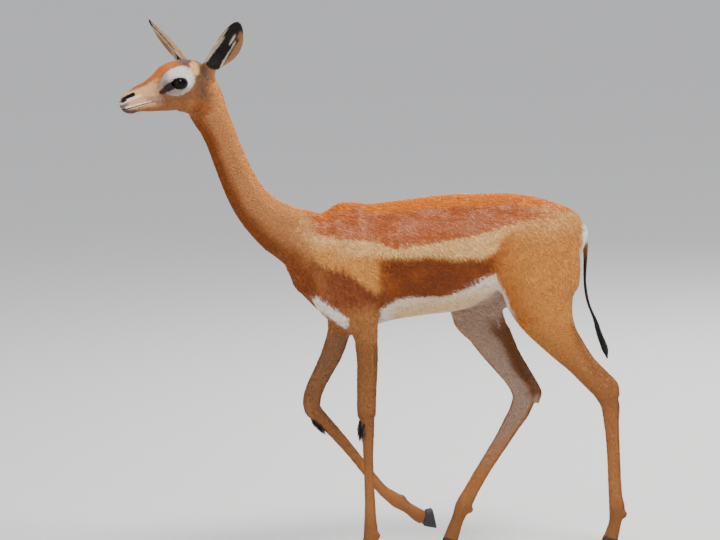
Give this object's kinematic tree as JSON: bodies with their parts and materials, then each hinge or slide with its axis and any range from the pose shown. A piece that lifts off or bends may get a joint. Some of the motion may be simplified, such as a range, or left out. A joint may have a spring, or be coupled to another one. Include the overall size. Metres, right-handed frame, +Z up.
{
  "type": "gerenuk",
  "caption": "Long-necked antelope without horns, standing in mid-stride on three feet with one foreleg lifted and its ears spread.",
  "frame": {"origin": "on the floor under the middle of the animal's bounding box", "axes": "+Z up, -X the way the animal walks, -Y its left side"},
  "size_m": [1.2548, 0.2412, 1.4137],
  "materials": {
    "coat": "short smooth hair, reddish on the back, tan on the flanks and legs, white below",
    "dark_hair": "coarse dark hair",
    "hoof": "dark horn",
    "eye": "wet and dark"
  },
  "bodies": {
    "root": {"ear_left": "coat", "ear_right": "coat", "eye_left": "eye", "eye_right": "eye", "front_left_claw_inner": "hoof", "front_left_claw_outer": "hoof", "front_left_forearm": "coat", "front_left_shank": "coat", "front_right_claw_inner": "hoof", "front_right_claw_outer": "hoof", "front_right_forearm": "coat", "front_right_shank": "coat", "head": "coat", "hind_left_claw_inner": "hoof", "hind_left_claw_outer": "hoof", "hind_left_shank": "coat", "hind_left_thigh": "coat", "hind_right_claw_inner": "hoof", "hind_right_claw_outer": "hoof", "hind_right_shank": "coat", "hind_right_thigh": "coat", "neck": "coat", "tail": "coat", "tail_tuft": "dark_hair", "torso": "coat"}
  },
  "joints": []
}
